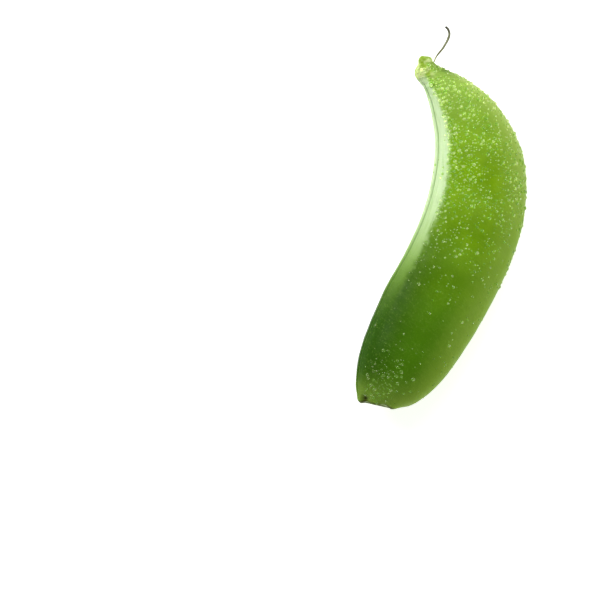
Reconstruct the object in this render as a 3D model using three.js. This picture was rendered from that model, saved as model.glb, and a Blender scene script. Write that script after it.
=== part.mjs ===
// A sugar snap pea pod that lies on its broad side, trimmed at the stem end, with the dry style still on its
// beak. Millimetres, +Z up. X runs from the stem end to the beak, and +Y is the side of the ventral seam, the
// hollow side of the bend, which carries the peas. The origin is the centre of the bounding box in X and Y, on
// the surface that the pod lies on.
import * as THREE from "three";

// The pod, from stem end to beak: where its two seams run in plan, [x, y], and half its thickness there.
const STATIONS = [
  { ventral: [0.0, 0.0], dorsal: [-0.2, -6.8], half: 2.1 },
  { ventral: [3.2, 1.3], dorsal: [3.9, -13.0], half: 4.2 },
  { ventral: [10.5, 1.5], dorsal: [12.2, -17.8], half: 6.0 },
  { ventral: [21.0, -0.6], dorsal: [22.4, -21.6], half: 6.4 },
  { ventral: [31.5, -3.9], dorsal: [32.7, -24.4], half: 6.4 },
  { ventral: [42.0, -5.9], dorsal: [43.2, -25.2], half: 6.4 },
  { ventral: [51.5, -5.5], dorsal: [54.0, -22.5], half: 6.1 },
  { ventral: [58.3, -3.4], dorsal: [62.0, -16.1], half: 4.7 },
  { ventral: [62.8, -1.0], dorsal: [65.8, -9.0], half: 3.1 },
  { ventral: [65.6, 0.7], dorsal: [67.0, -4.1], half: 1.9 },
  { ventral: [67.3, 1.15], dorsal: [67.9, -1.45], half: 1.3 },
];
const BEAK_CAP = 0.9; // how far the beak's rounded knob reaches past the last station
const SCAR_DEPTH = 0.5; // how far the trimmed end is dished

// The cross-section, from the ventral seam at 0 to the dorsal seam at 1 across the pod.
const ROUNDNESS = 2.25; // exponent of the superellipse, where 2 is an ellipse
const SHOULDER = 0.095; // where the flat slopes beside the ventral seam end
const SEAM_EDGE = 0.13; // thickness of the ventral edge, as a share of the full thickness

// The peas swell both broad sides a little.
const PEAS = 7;
const FIRST_PEA = 0.16; // their places along the pod, from 0 to 1
const LAST_PEA = 0.8;
const PEA_ACROSS = 0.46; // their place across the pod
const PEA_SWELL = 0.42;
const PEA_RADIUS = 4.0;

const REST_DEPTH = 0.45; // how much of the lowest swellings the surface takes up, which leaves flats
const BEAK_LIFT = 0.5; // the ends curl up a little
const BEAK_LIFT_FROM = 0.65; // where the curl starts and ends along the pod, from 0 to 1
const STEM_LIFT = 0.3;
const STEM_LIFT_TO = 0.3;

// The dry style: a thread that leaves the dorsal side of the beak and curls back over it.
const STYLE_FROM_BEAK = [0.15, -0.45]; // its root, from the dorsal end of the last station
const STYLE_RADIUS = 0.22;
const STYLE_PATH = [
  [0.0, 0.0, 0.0],
  [0.75, -0.15, 0.1],
  [1.7, -0.55, 0.2],
  [3.05, -1.25, 0.4],
  [4.5, -1.75, 0.6],
  [5.75, -1.9, 0.7],
  [6.65, -1.5, 0.8],
  [7.1, -0.8, 0.9],
];

const STEPS_A_SPAN = 6; // rings between two stations
const RING_POINTS = 32;
const CAP_RINGS = 4;
const STYLE_RINGS = 26;
const STYLE_SIDES = 8;

const ventralRail = new THREE.SplineCurve(STATIONS.map((s) => new THREE.Vector2(...s.ventral)));
const dorsalRail = new THREE.SplineCurve(STATIONS.map((s) => new THREE.Vector2(...s.dorsal)));
const halfRail = new THREE.SplineCurve(STATIONS.map((s, i) => new THREE.Vector2(i, s.half)));

// A closed solid through rings of points, each anticlockwise as seen from ahead, with a fan from the middle
// point of each end.
function loft(rings, firstMiddle, lastMiddle) {
  const sides = rings[0].length;
  const points = [...rings.flat(), firstMiddle, lastMiddle];
  const first = points.length - 2;
  const last = points.length - 1;
  const at = (ring, k) => ring * sides + (k % sides);
  const faces = [];
  for (let k = 0; k < sides; k++) {
    faces.push(first, at(0, k + 1), at(0, k));
    for (let r = 0; r + 1 < rings.length; r++) {
      faces.push(at(r, k), at(r + 1, k + 1), at(r + 1, k));
      faces.push(at(r, k), at(r, k + 1), at(r + 1, k + 1));
    }
    faces.push(last, at(rings.length - 1, k), at(rings.length - 1, k + 1));
  }
  const geometry = new THREE.BufferGeometry().setFromPoints(points);
  geometry.setIndex(faces);
  geometry.computeVertexNormals();
  return geometry;
}

// Half the thickness across the section, as a share of its most: a superellipse whose ventral end is
// cut back to two flat slopes that meet at the seam.
function sectionShare(across) {
  const superellipse = (c) => (1 - Math.abs(2 * c - 1) ** ROUNDNESS) ** (1 / ROUNDNESS);
  if (across >= SHOULDER) return superellipse(across);
  return THREE.MathUtils.lerp(SEAM_EDGE, superellipse(SHOULDER), across / SHOULDER);
}

// The point across the pod at u along it, in plan.
function planPoint(u, across) {
  return ventralRail.getPoint(u).lerp(dorsalRail.getPoint(u), across);
}

const peaPlaces = Array.from({ length: PEAS }, (_, i) =>
  planPoint(THREE.MathUtils.lerp(FIRST_PEA, LAST_PEA, i / (PEAS - 1)), PEA_ACROSS),
);

// How far the peas push a side out at a point of the plan.
function swell(point) {
  const bumps = peaPlaces.map((pea) => Math.exp(-(point.distanceToSquared(pea) / PEA_RADIUS ** 2)));
  return PEA_SWELL * bumps.reduce((a, b) => a + b);
}

// The height of the seams at u along the pod, from where they would be if the ends didn't curl up.
function midHeight(u) {
  const beak = BEAK_LIFT * THREE.MathUtils.smoothstep(u, BEAK_LIFT_FROM, 1);
  const stem = STEM_LIFT * (1 - THREE.MathUtils.smoothstep(u, 0, STEM_LIFT_TO));
  return beak + stem;
}

// One ring of the pod at u along it, drawn in towards its middle by scale.
function podRing(u, scale = 1, forward = new THREE.Vector2()) {
  const half = halfRail.getPoint(u).y;
  return Array.from({ length: RING_POINTS }, (_, k) => {
    const angle = (2 * Math.PI * k) / RING_POINTS;
    const across = (1 - Math.cos(angle)) / 2;
    const plan = planPoint(u, 0.5 + (across - 0.5) * scale);
    const side = Math.sign(k * (RING_POINTS / 2 - k)); // 1 above, -1 below and 0 on the seams
    const height = side * (half * sectionShare(across) + swell(plan) * Math.sin(angle) ** 2);
    return new THREE.Vector3(plan.x + forward.x, plan.y + forward.y, midHeight(u) + height * scale);
  });
}

function makePod() {
  const rings = [];
  const spans = STATIONS.length - 1;
  for (let i = 0; i <= spans * STEPS_A_SPAN; i++) rings.push(podRing(i / (spans * STEPS_A_SPAN)));
  const lastAcross = planPoint(1, 1).sub(planPoint(1, 0)).normalize();
  const beakAxis = new THREE.Vector2(-lastAcross.y, lastAcross.x);
  for (let i = 1; i <= CAP_RINGS; i++) {
    const angle = (i / (CAP_RINGS + 1)) * (Math.PI / 2);
    const forward = beakAxis.clone().multiplyScalar(BEAK_CAP * Math.sin(angle));
    rings.push(podRing(1, Math.cos(angle), forward));
  }
  const beakEnd = planPoint(1, 0.5).addScaledVector(beakAxis, BEAK_CAP);
  const scar = planPoint(0, 0.5);
  const pod = loft(
    rings,
    new THREE.Vector3(scar.x + SCAR_DEPTH, scar.y, midHeight(0)),
    new THREE.Vector3(beakEnd.x, beakEnd.y, midHeight(1)),
  );
  restOnSurface(pod);
  return pod;
}

// Lowers the solid until the surface takes up the lowest swellings, which become flat.
function restOnSurface(geometry) {
  geometry.computeBoundingBox();
  geometry.translate(0, 0, -(geometry.boundingBox.min.z + REST_DEPTH));
  const position = geometry.getAttribute("position");
  for (let i = 0; i < position.count; i++) position.setZ(i, Math.max(0, position.getZ(i)));
}

// The thread, from its root beside the beak.
function makeStyle() {
  const [rootX, rootY] = planPoint(1, 1).toArray().map((place, i) => place + STYLE_FROM_BEAK[i]);
  const points = STYLE_PATH.map(([x, y, z]) => new THREE.Vector3(rootX + x, rootY + y, styleRootHeight + z));
  const path = new THREE.CatmullRomCurve3(points);
  const frames = path.computeFrenetFrames(STYLE_RINGS);
  const rings = [];
  for (let i = 0; i <= STYLE_RINGS; i++) {
    const middle = path.getPointAt(i / STYLE_RINGS);
    const ring = [];
    for (let k = 0; k < STYLE_SIDES; k++) {
      const angle = (2 * Math.PI * k) / STYLE_SIDES;
      const spoke = frames.normals[i].clone().multiplyScalar(Math.cos(angle));
      spoke.addScaledVector(frames.binormals[i], Math.sin(angle));
      ring.push(middle.clone().addScaledVector(spoke, STYLE_RADIUS));
    }
    rings.push(ring);
  }
  return loft(rings, path.getPointAt(0), path.getPointAt(1));
}

const podGeometry = makePod();
const styleRootHeight = podGeometry.getAttribute("position").array.at(-1); // the height of the beak's end
const styleGeometry = makeStyle();

const podSkin = new THREE.MeshStandardMaterial({ color: 0x6f9a1f, roughness: 0.42, metalness: 0 });
const dryStyle = new THREE.MeshStandardMaterial({ color: 0x8a8158, roughness: 0.8, metalness: 0 });

const pod = new THREE.Mesh(podGeometry, podSkin);
pod.name = "pod";
const style = new THREE.Mesh(styleGeometry, dryStyle);
style.name = "dry_style";

const model = new THREE.Group();
model.add(pod, style);
const box = new THREE.Box3().setFromObject(model);
model.position.set(-(box.min.x + box.max.x) / 2, -(box.min.y + box.max.y) / 2, 0);

export default model;
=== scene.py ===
import math
import bpy
import numpy as np
from mathutils import Matrix, Vector


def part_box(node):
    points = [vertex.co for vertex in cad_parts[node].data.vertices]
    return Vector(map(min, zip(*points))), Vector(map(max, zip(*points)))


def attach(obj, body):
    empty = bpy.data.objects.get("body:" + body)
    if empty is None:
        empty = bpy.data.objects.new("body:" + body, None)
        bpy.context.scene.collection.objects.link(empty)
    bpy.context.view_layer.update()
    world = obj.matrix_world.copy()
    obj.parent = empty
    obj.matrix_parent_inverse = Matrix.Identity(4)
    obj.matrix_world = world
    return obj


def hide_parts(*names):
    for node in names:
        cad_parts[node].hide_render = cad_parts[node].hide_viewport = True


# The looks of a sugar snap pea pod: its skin, seams, beak and trimmed end, its dry style and its drops.
# The shape is worked out in millimetres in the pod's own plan, as the CAD model has it, and then placed in
# metres on the CAD node. X runs from the stem end to the beak, +Y is the ventral side and +Z is up.
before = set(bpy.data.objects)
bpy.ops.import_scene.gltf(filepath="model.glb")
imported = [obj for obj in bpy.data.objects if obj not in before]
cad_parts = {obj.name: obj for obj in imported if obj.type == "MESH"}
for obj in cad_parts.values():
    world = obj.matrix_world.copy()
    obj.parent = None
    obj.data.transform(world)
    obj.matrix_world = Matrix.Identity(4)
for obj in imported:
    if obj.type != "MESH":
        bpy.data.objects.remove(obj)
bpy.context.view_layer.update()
pod_low, pod_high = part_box("pod")
MM = 0.001
rng = np.random.default_rng(7)

# ------------------------------------------------------------------ the pod's shape, in millimetres
# Where the two seams run, [x, y], and half the thickness between them, from the stem end to the beak.
VENTRAL = [(0, 0), (3.2, 1.3), (10.5, 1.5), (21, -0.6), (31.5, -3.9), (42, -5.9), (51.5, -5.5), (58.3, -3.4),
           (62.8, -1), (65.6, 0.7), (67.3, 1.15)]
DORSAL = [(-0.2, -6.8), (3.9, -13), (12.2, -17.8), (22.4, -21.6), (32.7, -24.4), (43.2, -25.2), (54, -22.5),
          (62, -16.1), (65.8, -9), (67, -4.1), (67.9, -1.45)]
HALF = [2.1, 4.2, 6.0, 6.4, 6.4, 6.4, 6.1, 4.7, 3.1, 1.9, 1.3]
BEAK_CAP = 0.9
ROUNDNESS = 2.25  # of the superellipse across the pod
SHOULDER = 0.078  # where the flat slope beside the ventral seam ends, from 0 to 1 across the pod
SHOULDER_BLEND = 0.05
SEAM_EDGE = 0.13  # thickness of the ventral edge, as a share of the full thickness
PEAS = np.linspace(0.16, 0.8, 7)  # the peas' places along the pod
PEA_ACROSS = 0.46
PEA_SWELL = 0.42
PEA_RADIUS = 4.0
REST_DEPTH = 0.45
BEAK_LIFT, BEAK_LIFT_FROM = 0.5, 0.65
STEM_LIFT, STEM_LIFT_TO = 0.3, 0.3

RINGS = 400
HALF_RING = 96
BEAK_RINGS = 12
SCAR_RINGS = 16
SCAR_DISH = 0.35
SEAM_CROWDING = 0.85  # how much closer the points of a ring stand at the seams
END_ROUNDING, END_ROUNDING_OVER = 0.1, 0.006  # how the trimmed end narrows, and over how much of the pod
WAVE_COUNT = 14
WAVE_SPREAD = (0.7, 1.6)  # the waves' sizes, as shares of the size asked for
UNEVEN = [(0.05, 9.0), (0.02, 3.2), (0.006, 1.1)]  # the skin's unevenness: heights and sizes

SCAR = (0.5, -0.7, 1.6, 0.8, -0.5)  # where the stalk was, as a row of the list below
SCAR_STAIN = 0.8  # how far its dark spreads, as a share of its radius
KNOT = (63.0, -1.9, 2.3, 0.6, 0.4)  # the bright green knot under the beak, as a row of it too
# Small swellings and hollows: x, y, height over the seams, radius, and how far they push the skin out.
BUMPS = [
    (65.2, 0.8, 0.3, 1.3, 0.7),  # the pale bulge under the beak, on the ventral side
    (63.9, 0.1, 0.4, 1.4, 0.55),
    (66.9, 1.2, 0.2, 0.5, -0.3),  # the neck over it
    (68.1, 0.7, 0.6, 0.8, 0.34),  # the two lobes of the beak's end
    (68.2, -0.9, 0.2, 0.7, 0.3),
    (66.7, -2.7, 0.8, 0.8, -0.22),
    (66.0, -0.7, 1.8, 0.65, 0.4),  # the knots beside it
    KNOT,
    (64.6, -1.5, 2.2, 0.7, 0.34),
    (61.2, -1.2, 2.2, 0.5, 0.16),
    (0.3, -0.2, 0.6, 0.9, 0.36),  # the lip of the trimmed end, at its ventral corner
    (0.1, -0.5, -0.9, 0.9, 0.3),
    SCAR,
    (-0.1, -3.0, 1.3, 1.0, 0.3),
    (0.0, -4.5, 1.6, 1.0, -0.4),  # the notch half way along its edge
    (0.0, -6.2, 1.0, 1.5, 0.28),
    (1.6, -9.6, 0.0, 2.2, 0.4),  # the round lobe on its dorsal side
]
# The suture between the ventral seam's two lips, which stands above the middle by a share of the thickness.
GROOVE_DEPTH, GROOVE_WIDTH, GROOVE_SHARE = 0.3, 0.15, 0.22
GROOVE_REACH = 0.035  # how far across the pod the suture shows, from 0 to 1
LIP_HEIGHT, LIP_PLACE, LIP_WIDTH = 0.12, 0.42, 0.2
CUT_FROM, CUT_TO = 0.2, 0.45  # where along the pod the section turns from plain to cut back at the seam
RIDGE_HEIGHT, RIDGE_WIDTH = 0.12, 0.22  # the dorsal seam's fine ridge
RIDGE_REACH = 0.02
SEAM_STARTS, SEAM_ENDS = (0, 0.012), (0.95, 0.985)  # where along the pod the suture and the ridge fade

# The dry thread, from its root beside the beak, which is placed from the dorsal end of the last station.
STYLE_FROM_BEAK = (0.15, -0.45)
STYLE_ANCHOR = (-0.9, 0.55, -0.1)
STYLE_PATH = [(0, 0, 0), (0.75, -0.15, 0.1), (1.7, -0.55, 0.2), (3.05, -1.25, 0.4), (4.5, -1.75, 0.6),
              (5.75, -1.9, 0.7), (6.65, -1.5, 0.8), (7.1, -0.8, 0.9)]
STYLE_RADII_AT = [0, 0.12, 0.3, 0.7, 1]
STYLE_RADII = [0.2, 0.13, 0.16, 0.25, 0.22]
STYLE_RINGS = 120
STYLE_SIDES = 14
STYLE_WANDER, STYLE_WANDER_SIZES = 0.035, (2.4, 1.7)  # how the thread wavers
STYLE_TIP_END, STYLE_TIP_LENGTH = 1.005, 0.02  # its rounded free end, in shares of the thread
STYLE_RIBS, STYLE_RIB_HEIGHT, STYLE_TWIST = 3, 0.16, 5

# The drops, in millimetres: radii from a heavy-tailed spread, and the pieces that hold them by radius.
DROP_TRIES = 5200
DROP_LEAST, DROP_MOST, DROP_TAIL = 0.115, 0.42, 2.8
DROP_MOST_SPREAD = (0.7, 1)
DROP_GAP = 0.03
DROP_STRETCH, DROP_HEIGHT = (0.88, 1.15), (0.6, 0.9)  # length and height, as shares of the radius
DROP_FOOT = 0.12  # how far the underside reaches into the skin, as a share of the radius
DROP_TURN = (1.0, 0.3, 0.2)  # the way that their lengths are set across
DROP_CLEARANCE = 1.2  # the least height of a drop over the floor
DROP_PAINTED_SPARK, DROP_PAINTED_SPARK_FROM, DROP_PAINTED_SPARK_SPREAD = 1.3, 0.6, (-0.5, 1.0)  # painted light on the drops: paler by the beak, and more or less from drop to drop
DROP_PIECES = [("drops_fine", 0.0, 0.15, 8, 3), ("drops_small", 0.15, 0.24, 12, 4),
               ("drops_large", 0.24, 1.0, 20, 7)]  # name, radii from and to, sides and rows of a bead
# How thickly they stand, by places along and across the pod, which run from 0 to 1.
UNDER_SHARE = 0.15  # on the side the pod lies on
STEM_SHARE, STEM_TO_BEAK = 0.05, (0.3, 0.62)
SHOULDER_SHARE, SHOULDER_AT, SHOULDER_SPREAD, SHOULDER_RISE = 4.2, 0.14, 0.05, (0.4, 0.6)
FACE_SHARE, FACE_FALL, FACE_FALL_OVER = 0.45, 0.5, (0.45, 1.0)
SLOPE_SHARE, SLOPE_ACROSS, SLOPE_ALONG = 0.02, 0.09, 0.85
BEAK_FADE = (0.9, 0.95)
TIP_SHARE, TIP_RISE = 1.6, (0.68, 0.86)
END_SHARE, END_AT, END_SPREAD = 0.5, (0.08, 0.25), (0.07, 0.2)  # by the trimmed end: along, across
BULGE_SHARE, BULGE_ACROSS, BULGE_ALONG = 0.1, 0.25, 0.82
PATCH_MEAN, PATCH_SWING, PATCH_SIZE, PATCH_LEAST = 0.55, 0.45, 5.0, 0.12

# The light and the camera, in metres. The camera aims beside the pod, which stands right of the middle.
WORLD_STRENGTH = 0.26
FLOOR_GLOW = 0.62
FLOOR_REACH = 1.6
SOFTBOXES = {
    "key": ((0.16, 0.30, 0.22), (0.22, 0.16), 1.02),
    "top": ((0.34, 0.10, 0.38), (0.25, 0.25), 0.74),
    "rim": ((0.04, -0.30, 0.10), (0.30, 0.10), 0.42),
}
CAMERA_LEAN_TO_SEAM = math.radians(7.5)
CAMERA_LEAN_TO_STEM = math.radians(5)
CAMERA_ROLL = math.radians(11)
CAMERA_LENS = 100
CAMERA_DISTANCE = 0.3206
CAMERA_AIM = (-0.0174, 0.0269, 0.0)


def spline(points, along):
    """A uniform Catmull-Rom curve through the points, at each place along it from 0 to 1."""
    points = np.asarray(points, float).reshape(len(points), -1)
    place = np.clip(along, 0, 1) * (len(points) - 1)
    span = np.minimum(place.astype(int), len(points) - 2)
    t = (place - span)[:, None]
    before, start = points[np.maximum(span - 1, 0)], points[span]
    end, after = points[span + 1], points[np.minimum(span + 2, len(points) - 1)]
    leave, arrive = (end - before) / 2, (after - start) / 2
    cubic = 2 * start - 2 * end + leave + arrive
    square = 3 * end - 3 * start - 2 * leave - arrive
    return cubic * t**3 + square * t**2 + leave * t + start


def smoothstep(value, low, high):
    t = np.clip((value - low) / (high - low), 0, 1)
    return t * t * (3 - 2 * t)


def bell(value, width):
    return np.exp(-((value / width) ** 2))


def section_share(across, along):
    """Half the thickness across each section, as a share of its most.

    It is a superellipse by the stem. Further along, its ventral end is cut back to two flat slopes with a
    rounded shoulder."""

    def superellipse(c):
        return (1 - np.abs(2 * c - 1) ** ROUNDNESS) ** (1 / ROUNDNESS)

    slope = SEAM_EDGE + (superellipse(SHOULDER) - SEAM_EDGE) * across / SHOULDER
    round_part = superellipse(across)
    blend = np.maximum(SHOULDER_BLEND - np.abs(slope - round_part), 0) / SHOULDER_BLEND
    cut_back = np.minimum(slope, round_part) - blend**2 * SHOULDER_BLEND / 4
    share = smoothstep(along, CUT_FROM, CUT_TO)[:, None]
    return round_part * (1 - share) + cut_back * share


def mid_height(along):
    beak = BEAK_LIFT * smoothstep(along, BEAK_LIFT_FROM, 1)
    return beak + STEM_LIFT * (1 - smoothstep(along, 0, STEM_LIFT_TO))


def waves(points, size):
    """Smooth, seeded unevenness from -1 to 1 at about the given size."""
    total = np.zeros(len(points))
    for _ in range(WAVE_COUNT):
        way = rng.normal(size=3)
        way /= np.linalg.norm(way)
        length = size * rng.uniform(*WAVE_SPREAD)
        phase = rng.uniform(0, 2 * math.pi)
        total += np.sin(points @ way * 2 * math.pi / length + phase)
    return total / math.sqrt(WAVE_COUNT * 2)


def pod_rings():
    """The rings of the pod's skin, anticlockwise as seen from the beak, and the facts of each point."""
    step = np.arange(2 * HALF_RING) / HALF_RING
    angle = math.pi * (step - SEAM_CROWDING * np.sin(2 * math.pi * step) / (2 * math.pi))
    across = (1 - np.cos(angle)) / 2
    side = np.sign(np.arange(2 * HALF_RING) * (HALF_RING - np.arange(2 * HALF_RING)))
    pea_points = spline(VENTRAL, PEAS) + (spline(DORSAL, PEAS) - spline(VENTRAL, PEAS)) * PEA_ACROSS

    body = np.linspace(0, 1, RINGS + 1)
    cap = (np.arange(1, BEAK_RINGS + 1) / (BEAK_RINGS + 1)) * math.pi / 2
    scar = np.arange(SCAR_RINGS, 0, -1) / (SCAR_RINGS + 1)
    along = np.concatenate([np.zeros(SCAR_RINGS), body, np.ones(BEAK_RINGS)])
    scale = np.concatenate([1 - scar, np.ones(RINGS + 1), np.cos(cap)])
    scale *= 1 - END_ROUNDING * np.exp(-along / END_ROUNDING_OVER)
    dish = SCAR_DISH * (1 - (1 - scar) ** 3)
    reach = np.concatenate([dish, np.zeros(RINGS + 1), BEAK_CAP * np.sin(cap)])
    last_across = np.subtract(DORSAL[-1], VENTRAL[-1])
    last_across = last_across / np.linalg.norm(last_across)
    beak_axis = np.array([-last_across[1], last_across[0]])

    start, end = spline(VENTRAL, along), spline(DORSAL, along)
    half = spline(HALF, along)[:, 0]
    place = 0.5 + (across[None, :] - 0.5) * scale[:, None]
    plan = start[:, None, :] + (end - start)[:, None, :] * place[..., None]
    forward = np.where((along > 0.5)[:, None], beak_axis, np.array([1.0, 0.0]))
    plan = plan + (forward * reach[:, None])[:, None, :]
    bumps = sum(bell(np.linalg.norm(plan - pea, axis=-1), PEA_RADIUS) for pea in pea_points)
    height = side * (half[:, None] * section_share(across, along) + PEA_SWELL * bumps * np.sin(angle) ** 2)
    height = height * scale[:, None]

    # The suture and its lips, and the dorsal ridge, pushed in or out across the pod.
    width = np.linalg.norm(end - start, axis=-1)[:, None]
    way = (end - start) / width
    fade = (smoothstep(along, *SEAM_STARTS) * (1 - smoothstep(along, *SEAM_ENDS)))[:, None]
    from_suture = height - GROOVE_SHARE * half[:, None]
    lips = LIP_HEIGHT * bell(np.abs(from_suture) - LIP_PLACE, LIP_WIDTH)
    suture = (GROOVE_DEPTH * bell(from_suture, GROOVE_WIDTH) - lips) * bell(across, GROOVE_REACH) * fade
    ridge = RIDGE_HEIGHT * bell(height, RIDGE_WIDTH) * bell(1 - across, RIDGE_REACH) * fade
    plan = plan + way[:, None, :] * (suture + ridge)[..., None]

    points = np.concatenate([plan, height[..., None]], axis=-1)
    facts = {
        "along": np.repeat(along, 2 * HALF_RING),
        "across": np.tile(across, len(along)),
        "rise": height.ravel(),
        "from_suture": from_suture.ravel(),
        "pea": np.clip(bumps, 0, 1).ravel(),
        "cut": np.repeat(np.concatenate([scar, np.zeros(RINGS + 1 + BEAK_RINGS)]), 2 * HALF_RING),
    }
    return points, along, facts


def ring_normals(points):
    """Outward normals of a grid of rings, from its neighbours."""
    forward = np.gradient(points, axis=0)
    round_way = np.roll(points, -1, axis=1) - np.roll(points, 1, axis=1)
    normals = np.cross(forward, round_way)
    length = np.linalg.norm(normals, axis=-1, keepdims=True)
    return -normals / np.maximum(length, 1e-12)


def shape_pod():
    """The pod's points in millimetres, on the surface it rests on, with their normals and facts."""
    points, along, facts = pod_rings()
    normals = ring_normals(points)
    push = np.zeros(points.shape[:2])
    for x, y, z, radius, amount in BUMPS:
        push += amount * bell(np.linalg.norm(points - np.array([x, y, z]), axis=-1), radius)
    flat = points.reshape(-1, 3)
    facts["scar"] = bell(np.linalg.norm(flat - np.array(SCAR[:3]), axis=-1), SCAR[3] * SCAR_STAIN)
    facts["knot"] = bell(np.linalg.norm(flat - np.array(KNOT[:3]), axis=-1), KNOT[3])
    uneven = sum(amount * waves(flat, size) for amount, size in UNEVEN)
    points = points + normals * (push + uneven.reshape(push.shape))[..., None]
    points[..., 2] += mid_height(along)[:, None]
    lowest = points[..., 2].min()
    points[..., 2] = np.maximum(points[..., 2] - lowest - REST_DEPTH, 0)
    return points, ring_normals(points), facts


def to_frame(points):
    """From the pod's plan in millimetres to the shared frame in metres."""
    stem_end = min(x for x, y in DORSAL)
    seam = spline(VENTRAL, np.linspace(0, 1, RINGS))
    shift = np.array([pod_low[0] / MM - stem_end, pod_high[1] / MM - seam[:, 1].max(), 0.0])
    return (points + shift) * MM


def add_mesh(name, points, faces, material, facts=None, smooth=True):
    mesh = bpy.data.meshes.new(name)
    mesh.from_pydata(points.tolist(), [], faces)
    for key, values in (facts or {}).items():
        layer = mesh.attributes.new(key, "FLOAT", "POINT")
        layer.data.foreach_set("value", np.asarray(values, np.float32))
    mesh.polygons.foreach_set("use_smooth", [smooth] * len(mesh.polygons))
    mesh.materials.append(material)
    mesh.update()
    piece = bpy.data.objects.new(name, mesh)
    bpy.context.scene.collection.objects.link(piece)
    return piece


def tube_faces(rings, sides):
    """Faces of a closed tube of rings, with a fan at each end from two last points."""
    ring, side = np.meshgrid(np.arange(rings - 1), np.arange(sides), indexing="ij")
    after = (side + 1) % sides
    quads = np.stack([ring * sides + side, ring * sides + after, (ring + 1) * sides + after,
                      (ring + 1) * sides + side], axis=-1).reshape(-1, 4).tolist()
    first, last = rings * sides, rings * sides + 1
    top = (rings - 1) * sides
    for k in range(sides):
        quads.append([first, (k + 1) % sides, k])
        quads.append([last, top + k, top + (k + 1) % sides])
    return quads


# ------------------------------------------------------------------ materials
def colour(hex_code):
    """An sRGB colour such as "a0c040" as linear RGBA."""
    channels = [int(hex_code[i:i + 2], 16) / 255 for i in (0, 2, 4)]
    return (*[c / 12.92 if c <= 0.04045 else ((c + 0.055) / 1.055) ** 2.4 for c in channels], 1.0)


class Look:
    """A node material. Each method adds one node and returns its output socket."""

    def __init__(self, name):
        self.material = bpy.data.materials.new(name)
        self.material.use_nodes = True
        self.nodes, self.links = self.material.node_tree.nodes, self.material.node_tree.links
        self.shader = self.nodes["Principled BSDF"]

    def node(self, kind, inputs=None, **settings):
        node = self.nodes.new(kind)
        for key, value in settings.items():
            setattr(node, key, value)
        for key, value in (inputs or {}).items():
            if isinstance(value, bpy.types.NodeSocket):
                self.links.new(value, node.inputs[key])
            else:
                node.inputs[key].default_value = value
        return node

    def fact(self, name):
        return self.node("ShaderNodeAttribute", attribute_name=name).outputs["Fac"]

    def math(self, operation, a, b=0.0):
        return self.node("ShaderNodeMath", {0: a, 1: b}, operation=operation).outputs[0]

    def ramp(self, value, low, high, out_low=0.0, out_high=1.0):
        inputs = {"Value": value, "From Min": low, "From Max": high, "To Min": out_low, "To Max": out_high}
        return self.node("ShaderNodeMapRange", inputs, interpolation_type="SMOOTHSTEP").outputs["Result"]

    def noise(self, scale, detail=3.0, vector=None, roughness=0.5):
        inputs = {"Scale": scale, "Detail": detail, "Roughness": roughness}
        inputs["Vector"] = vector or self.node("ShaderNodeTexCoord").outputs["Object"]
        return self.node("ShaderNodeTexNoise", inputs).outputs["Fac"]

    def mix(self, share, a, b):
        node = self.node("ShaderNodeMix", data_type="RGBA")
        for socket, value in ((node.inputs[0], share), (node.inputs[6], a), (node.inputs[7], b)):
            if isinstance(value, bpy.types.NodeSocket):
                self.links.new(value, socket)
            else:
                socket.default_value = value
        return node.outputs[2]

    def bump(self, height, strength, distance, under=None):
        inputs = {"Height": height, "Strength": strength, "Distance": distance}
        if under is not None:
            inputs["Normal"] = under
        return self.node("ShaderNodeBump", inputs).outputs["Normal"]

    def shade(self, base_color, roughness, normal=None, **constants):
        self.links.new(base_color, self.shader.inputs["Base Color"])
        self.links.new(roughness, self.shader.inputs["Roughness"])
        if normal is not None:
            self.links.new(normal, self.shader.inputs["Normal"])
        for key, value in constants.items():
            self.shader.inputs[key.replace("_", " ")].default_value = value
        return self.material


FACE_GREEN = colour("7fab00")
FACE_DEEP = colour("719c00")
FACE_LIGHT = colour("a0c456")
STEM_GREEN = colour("4b7a0a")
# The next green is a painted shadow, laid beside the ventral seam towards the stem.
STEM_PAINTED_SHADOW = colour("244a00")
TIP_SHADE = colour("5d8028")
STEM_EDGE = colour("82a43a")
# The next pale is waxy bloom with a painted sheen on it.
SLOPE_BLOOM_AND_SHEEN = colour("c9e1ae")
SLOPE_STREAK = colour("a4c680")
SLOPE_GREEN = colour("7ea444")
DORSAL_GREEN = colour("8aae34")
# The next pale is the dorsal band's own paler green with a painted sheen on it.
DORSAL_PALE_AND_SHEEN = colour("adc664")
VEIN_PALE = colour("a4c45c")
BEAK_PALE = colour("d3e596")
BEAK_GREEN = colour("8fb034")
SUTURE_DARK = colour("3f6410")
SUTURE_PALE = colour("7d9f62")
EDGE_BROWN = colour("4c4816")
SCAR_DARK = colour("2c2c0a")
KNOT_GREEN = colour("7fc010")
FLESH = colour("8fac55")
FLESH_DEEP = colour("5c7c26")
# The drops' painted light: a pale painted caustic and a green painted shade.
WATER_PAINTED_LIGHT = colour("fcffd4")
WATER_PAINTED_SHADE = colour("a2c860")
STYLE_ROOT = colour("ccd2a0")
STYLE_OLIVE = colour("858863")
STYLE_END = colour("4f513c")
STYLE_FIBRE = colour("4a4630")
FLOOR_WHITE = colour("fbfbfa")
WHITE = colour("ffffff")

# The scales of the noises, over the pieces' metres, and the heights of the bumps, in metres.
CLOUDS, PORES, EDGE_WANDER, BEAK_MOTTLE = 230, 2600, 900, 700
FLESH_GRAIN, RIM_BREAKS, GLOSS_PATCHES, FINE_GRAIN = 1500, 1100, 520, 5200
STYLE_FIBRES, WATER_GLOSS, FLOOR_GRAIN = 2400, 900, 60
GRAIN_BUMP, VEIN_BUMP, PUCKER_BUMP, FIBRE_BUMP = 0.00004, 0.00005, 0.0004, 0.00005
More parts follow.
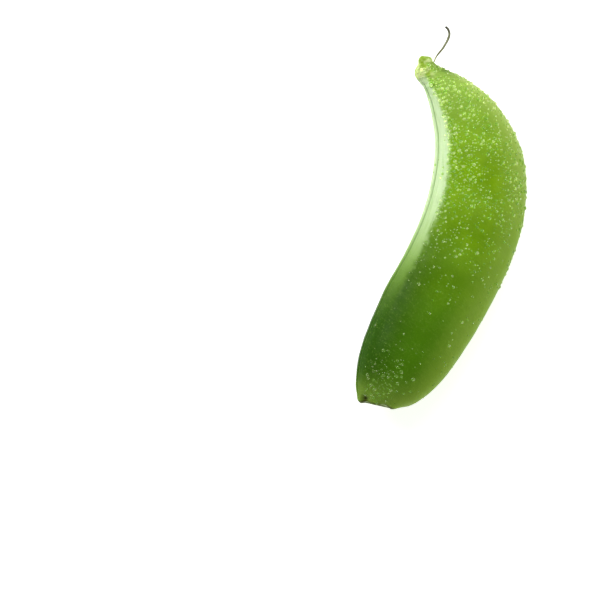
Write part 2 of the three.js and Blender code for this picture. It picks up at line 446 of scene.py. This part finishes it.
# How often the drawn-out noises repeat along and across the whole pod.
VEINS_ALONG, VEINS_SLANT, VEINS_ACROSS, VEINS_RISE = 46.0, 5.0, 3.0, 0.05
STREAKS_ALONG, STREAKS_ACROSS = 22.0, 90.0
PUCKERS_ALONG, PUCKERS_ACROSS = 70.0, 4.0
PAINTED_LIGHT_FROM, PAINTED_LIGHT_TO = -0.1, 0.5  # the drops' painted light, from their painted shade to their painted caustic
WATER_IOR = 1.33


def skin_look():
    look = Look("pod_skin_look")
    along, across, rise = look.fact("along"), look.fact("across"), look.fact("rise")

    # The broad sides: deeper green towards the stem, with a painted shadow by the ventral seam there, soft
    # clouds and a paler patch over each pea.
    clouds = look.noise(CLOUDS, 3.0)
    green = look.mix(look.ramp(clouds, 0.36, 0.66), FACE_DEEP, FACE_GREEN)
    green = look.mix(look.math("MULTIPLY", look.fact("pea"), 0.16), green, FACE_LIGHT)
    green = look.mix(look.ramp(along, 0.54, 0.2), green, STEM_GREEN)
    # Painted shadow: a darker green beside the ventral seam, towards the stem.
    painted_shadow_by_seam = look.math("MULTIPLY", look.ramp(across, 0.5, 0.04), look.ramp(along, 0.52, 0.3))
    green = look.mix(look.math("MULTIPLY", painted_shadow_by_seam, 0.85), green, STEM_PAINTED_SHADOW)
    green = look.mix(look.ramp(along, 0.16, 0.03, 0.0, 0.8), green, STEM_EDGE)
    green = look.mix(look.ramp(along, 0.56, 0.86, 0.0, 0.85), green, FACE_LIGHT)

    # Fine veins that run aslant from the dorsal seam, and a speckle of tiny pores.
    slant = look.node("ShaderNodeCombineXYZ", {
        "X": look.math("ADD", look.math("MULTIPLY", along, VEINS_ALONG),
                       look.math("MULTIPLY", across, VEINS_SLANT)),
        "Y": look.math("MULTIPLY", across, VEINS_ACROSS),
        "Z": look.math("MULTIPLY", rise, VEINS_RISE),
    }).outputs[0]
    from_vein = look.math("ABSOLUTE", look.math("SUBTRACT", look.noise(1.0, 3.0, slant, 0.6), 0.5))
    veins = look.ramp(from_vein, 0.05, 0.0)
    green = look.mix(look.math("MULTIPLY", veins, 0.03), green, VEIN_PALE)
    pores = look.noise(PORES, 1.0)
    green = look.mix(look.ramp(pores, 0.6, 0.75, 0.0, 0.12), green, FACE_LIGHT)

    # The slopes beside the ventral seam, pale from waxy bloom and painted sheen, the suture between its
    # lips, and the dorsal band.
    edge_wander = look.math("MULTIPLY", look.math("SUBTRACT", look.noise(EDGE_WANDER, 3.0), 0.5), 0.09)
    # The slopes' pale is partly their waxy bloom and partly painted sheen; towards the stem it gives way to
    # plain green.
    slope = look.ramp(look.math("ADD", across, edge_wander), 0.14, 0.07)
    slope = look.math("MULTIPLY", slope, look.ramp(along, 0.92, 0.85))
    slope = look.math("MULTIPLY", slope, look.ramp(along, 0.24, 0.44))
    grain = look.node("ShaderNodeCombineXYZ", {
        "X": look.math("MULTIPLY", along, STREAKS_ALONG),
        "Y": look.math("MULTIPLY", across, STREAKS_ACROSS),
        "Z": rise,
    }).outputs[0]
    streaks = look.ramp(look.noise(1.0, 4.0, grain), 0.45, 0.7, 0.0, 0.55)
    bloom_and_sheen_colour = look.mix(streaks, SLOPE_BLOOM_AND_SHEEN, SLOPE_STREAK)
    green = look.mix(slope, green, look.mix(look.ramp(along, 0.32, 0.54), SLOPE_GREEN, bloom_and_sheen_colour))
    # The dorsal band: a paler green of its own with a painted sheen, growing paler towards the beak.
    dorsal_band_and_sheen = look.ramp(look.math("ADD", across, edge_wander), 0.52, 0.96, 0.0, 0.85)
    green = look.mix(dorsal_band_and_sheen, green, look.mix(look.ramp(along, 0.4, 0.78), DORSAL_GREEN, DORSAL_PALE_AND_SHEEN))
    tip_shade = look.math("MULTIPLY", look.ramp(along, 0.78, 0.88), look.ramp(across, 0.3, 0.75))
    tip_shade = look.math("MULTIPLY", tip_shade, look.ramp(clouds, 0.3, 0.6, 0.35, 0.85))
    green = look.mix(tip_shade, green, TIP_SHADE)
    at_ventral = look.ramp(across, 0.06, 0.04)
    from_suture = look.math("ABSOLUTE", look.fact("from_suture"))
    suture = look.math("MULTIPLY", at_ventral, look.ramp(from_suture, 0.26, 0.1))
    suture_colour = look.mix(look.ramp(along, 0.3, 0.5), SUTURE_DARK, SUTURE_PALE)
    green = look.mix(look.math("MULTIPLY", suture, 0.6), green, suture_colour)

    # The beak, and the trimmed end with its brown edge, its flesh and the scar of the stalk.
    beak_colour = look.mix(look.ramp(look.noise(BEAK_MOTTLE, 2.0), 0.4, 0.6), BEAK_PALE, BEAK_GREEN)
    bulge = look.math("MULTIPLY", look.ramp(along, 0.82, 0.87), look.ramp(across, 0.42, 0.2))
    beak = look.math("MAXIMUM", look.ramp(along, 0.955, 0.985), bulge)
    green = look.mix(beak, green, beak_colour)
    cut = look.fact("cut")
    flesh = look.mix(look.ramp(look.noise(FLESH_GRAIN, 3.0), 0.35, 0.65), FLESH, FLESH_DEEP)
    green = look.mix(look.ramp(cut, 0.02, 0.2), green, flesh)
    rim = look.math("MULTIPLY", look.ramp(along, 0.014, 0.004), look.ramp(cut, 0.34, 0.14))
    edge = look.math("MULTIPLY", rim, look.ramp(look.noise(RIM_BREAKS, 2.0), 0.2, 0.42))
    green = look.mix(look.math("MULTIPLY", edge, 0.8), green, EDGE_BROWN)
    green = look.mix(look.fact("scar"), green, SCAR_DARK)
    green = look.mix(look.ramp(look.fact("knot"), 0.2, 0.6, 0.0, 0.8), green, KNOT_GREEN)

    rough = look.ramp(look.noise(GLOSS_PATCHES, 3.0), 0.3, 0.7, 0.36, 0.5)
    normal = look.bump(look.noise(FINE_GRAIN, 2.0), 0.35, GRAIN_BUMP)
    normal = look.bump(veins, 0.12, VEIN_BUMP, normal)
    across_way = look.node("ShaderNodeCombineXYZ", {
        "X": look.math("MULTIPLY", along, PUCKERS_ALONG),
        "Y": look.math("MULTIPLY", across, PUCKERS_ACROSS),
    }).outputs[0]
    puckers = look.noise(1.0, 2.0, across_way)
    normal = look.bump(puckers, look.ramp(along, 0.68, 0.84, 0.0, 0.8), PUCKER_BUMP, normal)
    return look.shade(green, rough, normal, Subsurface_Weight=0.12, Subsurface_Radius=(0.6, 1.0, 0.25),
                      Subsurface_Scale=0.001, Specular_IOR_Level=0.06)


def style_look():
    look = Look("dry_style_look")
    along = look.fact("along")
    tone = look.mix(look.ramp(along, 0.05, 0.45), STYLE_ROOT, STYLE_OLIVE)
    tone = look.mix(look.ramp(along, 0.55, 1.0), tone, STYLE_END)
    fibres = look.noise(STYLE_FIBRES, 3.0)
    tone = look.mix(look.ramp(fibres, 0.4, 0.7, 0.0, 0.45), tone, STYLE_FIBRE)
    rough = look.ramp(fibres, 0.3, 0.7, 0.6, 0.85)
    normal = look.bump(fibres, 0.6, FIBRE_BUMP)
    return look.shade(tone, rough, normal, Subsurface_Weight=0.1, Subsurface_Scale=0.0005)


def water_look():
    look = Look("water_look")
    # Painted light: green painted shade on each drop's side towards the key light, a pale painted caustic on
    # its far side.
    tone = look.mix(look.ramp(look.fact("painted_light"), PAINTED_LIGHT_FROM, PAINTED_LIGHT_TO), WATER_PAINTED_SHADE, WATER_PAINTED_LIGHT)
    rough = look.ramp(look.noise(WATER_GLOSS, 1.0), 0.3, 0.7, 0.0, 0.03)
    return look.shade(tone, rough, IOR=WATER_IOR, Transmission_Weight=0.75)


def floor_look():
    look = Look("floor_look")
    grain = look.noise(FLOOR_GRAIN, 4.0)
    tone = look.mix(look.ramp(grain, 0.3, 0.7), FLOOR_WHITE, WHITE)
    return look.shade(tone, look.ramp(grain, 0.3, 0.7, 0.75, 0.85), Specular_IOR_Level=0.1,
                      Emission_Color=WHITE, Emission_Strength=FLOOR_GLOW)


# ------------------------------------------------------------------ the pieces
def place(piece, slot, *nodes):
    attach(piece, "root")
    if nodes:
        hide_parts(*nodes)
    return piece


def make_pod():
    points, normals, facts = shape_pod()
    rings, sides = points.shape[:2]
    flat = points.reshape(-1, 3)
    ends = np.array([points[0].mean(axis=0), points[-1].mean(axis=0)])
    with_ends = {key: np.append(values, [values[0], values[-1]]) for key, values in facts.items()}
    faces = tube_faces(rings, sides)
    skin = add_mesh("pod_skin", to_frame(np.concatenate([flat, ends])), faces, skin_look(), with_ends)
    place(skin, "pod_skin", "pod")
    return points, normals, facts


def make_style(points):
    """The dry thread, tapered, from inside the beak to its curled free end."""
    mid = points[-1].mean(axis=0)
    root = np.array([DORSAL[-1][0] + STYLE_FROM_BEAK[0], DORSAL[-1][1] + STYLE_FROM_BEAK[1], mid[2]])
    path = np.array([STYLE_ANCHOR, *STYLE_PATH]) + root
    share = np.linspace(0, 1, STYLE_RINGS)
    middle = spline(path, share)
    wander = np.stack([waves(middle, size) for size in STYLE_WANDER_SIZES], axis=-1)
    middle[:, 1:] += STYLE_WANDER * wander * share[:, None]
    forward = np.gradient(middle, axis=0)
    forward /= np.linalg.norm(forward, axis=-1, keepdims=True)
    side = np.cross(forward, [0, 0, 1.0])
    side /= np.linalg.norm(side, axis=-1, keepdims=True)
    over = np.cross(side, forward)
    angle = np.arange(STYLE_SIDES) / STYLE_SIDES * 2 * math.pi
    radius = np.interp(share, STYLE_RADII_AT, STYLE_RADII)
    radius = radius * np.sqrt(np.clip((STYLE_TIP_END - share) / STYLE_TIP_LENGTH, 0, 1))
    ribs = 1 + STYLE_RIB_HEIGHT * np.cos(STYLE_RIBS * angle[None, :] + STYLE_TWIST * share[:, None])
    spokes = np.cos(angle)[None, :, None] * side[:, None] - np.sin(angle)[None, :, None] * over[:, None]
    rings = middle[:, None] + spokes * (radius[:, None] * ribs)[..., None]
    flat = np.concatenate([rings.reshape(-1, 3), middle[[0, -1]]])
    facts = {"along": np.concatenate([np.repeat(share, STYLE_SIDES), [0, 1]])}
    faces = tube_faces(STYLE_RINGS, STYLE_SIDES)
    thread = add_mesh("style_thread", to_frame(flat), faces, style_look(), facts)
    place(thread, "dry_style", "dry_style")


def bead(sides, rows):
    """A drop of radius 1 that sits on the plane z = 0: its points and faces, closed underneath."""
    points = [(0.0, 0.0, -DROP_FOOT)]
    faces = []
    for row in range(rows):
        lean = math.pi / 2 * row / rows
        for k in range(sides):
            turn = 2 * math.pi * k / sides
            points.append((math.cos(turn) * math.cos(lean), math.sin(turn) * math.cos(lean), math.sin(lean)))
    points.append((0.0, 0.0, 1.0))
    for k in range(sides):
        after = (k + 1) % sides
        faces.append((0, 1 + after, 1 + k))
        for row in range(rows - 1):
            a, b = 1 + row * sides, 1 + (row + 1) * sides
            faces.append((a + k, a + after, b + after, b + k))
        top = 1 + (rows - 1) * sides
        faces.append((top + k, top + after, len(points) - 1))
    return np.array(points), faces


def drop_chance(facts):
    """How thickly the drops stand: most on the shoulder and towards the beak, few by the stem."""
    along, across = facts["along"], facts["across"]
    upper = np.where(facts["rise"] > 0, 1.0, UNDER_SHARE)
    towards_beak = STEM_SHARE + (1 - STEM_SHARE) * smoothstep(along, *STEM_TO_BEAK)
    on_shoulder = SHOULDER_SHARE * bell(across - SHOULDER_AT, SHOULDER_SPREAD)
    on_shoulder = on_shoulder * smoothstep(along, *SHOULDER_RISE)
    on_face = FACE_SHARE * (1 - smoothstep(across, *FACE_FALL_OVER) * FACE_FALL)
    slope = np.where((across < SLOPE_ACROSS) & (along < SLOPE_ALONG), SLOPE_SHARE, 1.0)
    slope = slope * (1 - smoothstep(along, *BEAK_FADE))
    near_tip = 1 + TIP_SHARE * smoothstep(along, *TIP_RISE)
    at_stem = END_SHARE * bell(along - END_AT[0], END_SPREAD[0]) * bell(across - END_AT[1], END_SPREAD[1])
    skin = np.where(facts["cut"] > 0, 0.0, 1.0)
    bulge = np.where((across < BULGE_ACROSS) & (along > BULGE_ALONG), BULGE_SHARE, 1.0)
    return upper * skin * slope * bulge * (towards_beak * (on_face + on_shoulder) * near_tip + at_stem)


def scatter_drops(points, normals, facts):
    """Where each drop sits: its point, its normal and its radius, the largest first and none overlapping."""
    flat, up = points.reshape(-1, 3), normals.reshape(-1, 3)
    across_way = np.roll(points, -1, axis=1) - np.roll(points, 1, axis=1)
    along_way = np.gradient(points, axis=0)
    area = np.linalg.norm(np.cross(along_way, across_way), axis=-1).ravel()
    patches = PATCH_MEAN + PATCH_SWING * waves(flat, PATCH_SIZE)
    chance = area * drop_chance(facts) * np.clip(patches, PATCH_LEAST, None)
    chance[flat[:, 2] < DROP_CLEARANCE] = 0
    picks = rng.choice(len(flat), size=DROP_TRIES, p=chance / chance.sum())
    radii = DROP_LEAST * (1 - rng.random(DROP_TRIES)) ** (-1 / DROP_TAIL)
    most = DROP_MOST * rng.uniform(*DROP_MOST_SPREAD, DROP_TRIES)
    radii = np.sort(np.minimum(radii, most))[::-1]
    kept, spots, sizes = [], np.empty((0, 3)), np.empty(0)
    for pick, radius in zip(picks, radii):
        gap = np.linalg.norm(spots - flat[pick], axis=-1) - sizes - radius
        if len(spots) and gap.min() < DROP_GAP:
            continue
        spots, sizes = np.vstack([spots, flat[pick]]), np.append(sizes, radius)
        # A painted spark: each drop catches more painted light by the beak, and more or less at random.
        painted_spark = DROP_PAINTED_SPARK * (facts["along"][pick] - DROP_PAINTED_SPARK_FROM) + rng.uniform(*DROP_PAINTED_SPARK_SPREAD)
        kept.append((flat[pick], up[pick], radius, painted_spark))
    return kept


def make_drops(points, normals, facts):
    """The drops as pieces by size, so that each keeps its own fineness."""
    drops = scatter_drops(points, normals, facts)
    look = water_look()
    key_way = np.array(Vector(SOFTBOXES["key"][0]).normalized())
    for name, low, high, sides, rows in DROP_PIECES:
        unit, unit_faces = bead(sides, rows)
        cloud, painted_light, faces = [], [], []
        for spot, up, radius, painted_spark in drops:
            if not low <= radius < high:
                continue
            level = np.cross(up, DROP_TURN)
            level /= np.linalg.norm(level)
            basis = np.stack([level, np.cross(up, level), up])
            stretch = np.array([rng.uniform(*DROP_STRETCH), 1.0, rng.uniform(*DROP_HEIGHT)])
            faces += [tuple(i + len(cloud) * len(unit) for i in face) for face in unit_faces]
            cloud.append(unit * stretch * radius @ basis + spot)
            # The painted light grows from the drop's side towards the key light to its far side.
            lit = key_way - up * key_way.dot(up)
            painted_light.append(unit @ basis @ (-lit / np.linalg.norm(lit)) + painted_spark)
        painted_light_fact = {"painted_light": np.concatenate(painted_light)}
        piece = add_mesh(name, to_frame(np.concatenate(cloud)), faces, look, painted_light_fact)
        piece.visible_shadow = False  # the light reaches the skin under the clear drops
        place(piece, "water")


def make_floor():
    reach = FLOOR_REACH
    corners = [(-reach, -reach, 0), (reach, -reach, 0), (reach, reach, 0), (-reach, reach, 0)]
    floor = add_mesh("floor", np.array(corners), [(0, 1, 2, 3)], floor_look(), smooth=False)


def aim(thing, spot, target):
    thing.location = spot
    thing.rotation_mode = "QUATERNION"
    thing.rotation_quaternion = (Vector(target) - Vector(spot)).to_track_quat("-Z", "Y")


def softbox(name, offset, size, power):
    light = bpy.data.lights.new(name, "AREA")
    light.shape, light.size, light.size_y = "RECTANGLE", *size
    light.energy = power
    lamp = bpy.data.objects.new(name, light)
    bpy.context.scene.collection.objects.link(lamp)
    middle = (Vector(pod_low) + Vector(pod_high)) / 2
    aim(lamp, middle + Vector(offset), middle)


def make_light():
    world = bpy.data.worlds.new("studio")
    world.use_nodes = True
    background = world.node_tree.nodes["Background"]
    background.inputs["Color"].default_value = (1.0, 1.0, 1.0, 1.0)
    background.inputs["Strength"].default_value = WORLD_STRENGTH
    bpy.context.scene.world = world
    bpy.context.scene.view_settings.view_transform = "Standard"
    for name, (offset, size, power) in SOFTBOXES.items():
        softbox(name, offset, size, power)


def make_camera():
    """A camera that looks down on the pod, a little from its ventral side and its stem end."""
    back = Vector((-math.tan(CAMERA_LEAN_TO_STEM), math.tan(CAMERA_LEAN_TO_SEAM), 1.0)).normalized()
    along = Vector((1.0, 0.0, 0.0))
    along = (along - back * along.dot(back)).normalized()
    beside = along.cross(back)
    up = along * math.cos(CAMERA_ROLL) - beside * math.sin(CAMERA_ROLL)
    data = bpy.data.cameras.new("camera")
    data.lens = CAMERA_LENS
    camera = bpy.data.objects.new("camera", data)
    bpy.context.scene.collection.objects.link(camera)
    middle = (Vector(pod_low) + Vector(pod_high)) / 2
    camera.rotation_mode = "QUATERNION"
    camera.rotation_quaternion = Matrix((up.cross(back), up, back)).transposed().to_quaternion()
    camera.location = middle + Vector(CAMERA_AIM) + back * CAMERA_DISTANCE
    bpy.context.scene.camera = camera


make_camera()
make_light()
make_floor()
pod_points, pod_normals, pod_facts = make_pod()
make_style(pod_points)
make_drops(pod_points, pod_normals, pod_facts)
